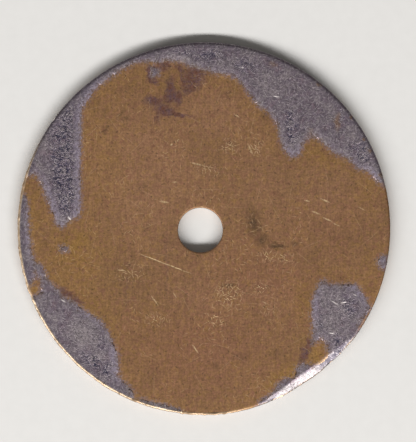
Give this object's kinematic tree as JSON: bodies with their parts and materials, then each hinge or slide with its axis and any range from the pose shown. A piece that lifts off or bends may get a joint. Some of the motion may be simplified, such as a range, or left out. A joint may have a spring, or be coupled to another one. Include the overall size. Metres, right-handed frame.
{
  "type": "dealer button",
  "caption": "Flat round metal disc with a small hole near its middle, handed round a table to mark the dealer; worn plating on brass.",
  "frame": {"origin": "middle of the disc, on the plane that the button rests on", "axes": "+Z is the disc's axis and points out of the front face; +Y points to the top of the front face, where the plating crescent is; +X points to its right"},
  "size_m": [0.0508, 0.0508, 0.0017],
  "materials": {
    "brass": "tarnished rolled brass, worn smooth",
    "plating": "dull, stained white-metal plating"
  },
  "bodies": {
    "root": {"brass_disc": "brass", "front_plating_crescent": "plating", "front_plating_lower_left": "plating", "front_plating_bottom_sliver": "plating", "front_plating_lower_right": "plating", "front_plating_right_fleck": "plating", "front_plating_left_fleck": "plating", "front_plating_top_fleck": "plating", "reverse_plating_crescent": "plating", "reverse_plating_upper": "plating", "reverse_plating_patch": "plating", "reverse_plating_fleck": "plating"}
  },
  "joints": []
}
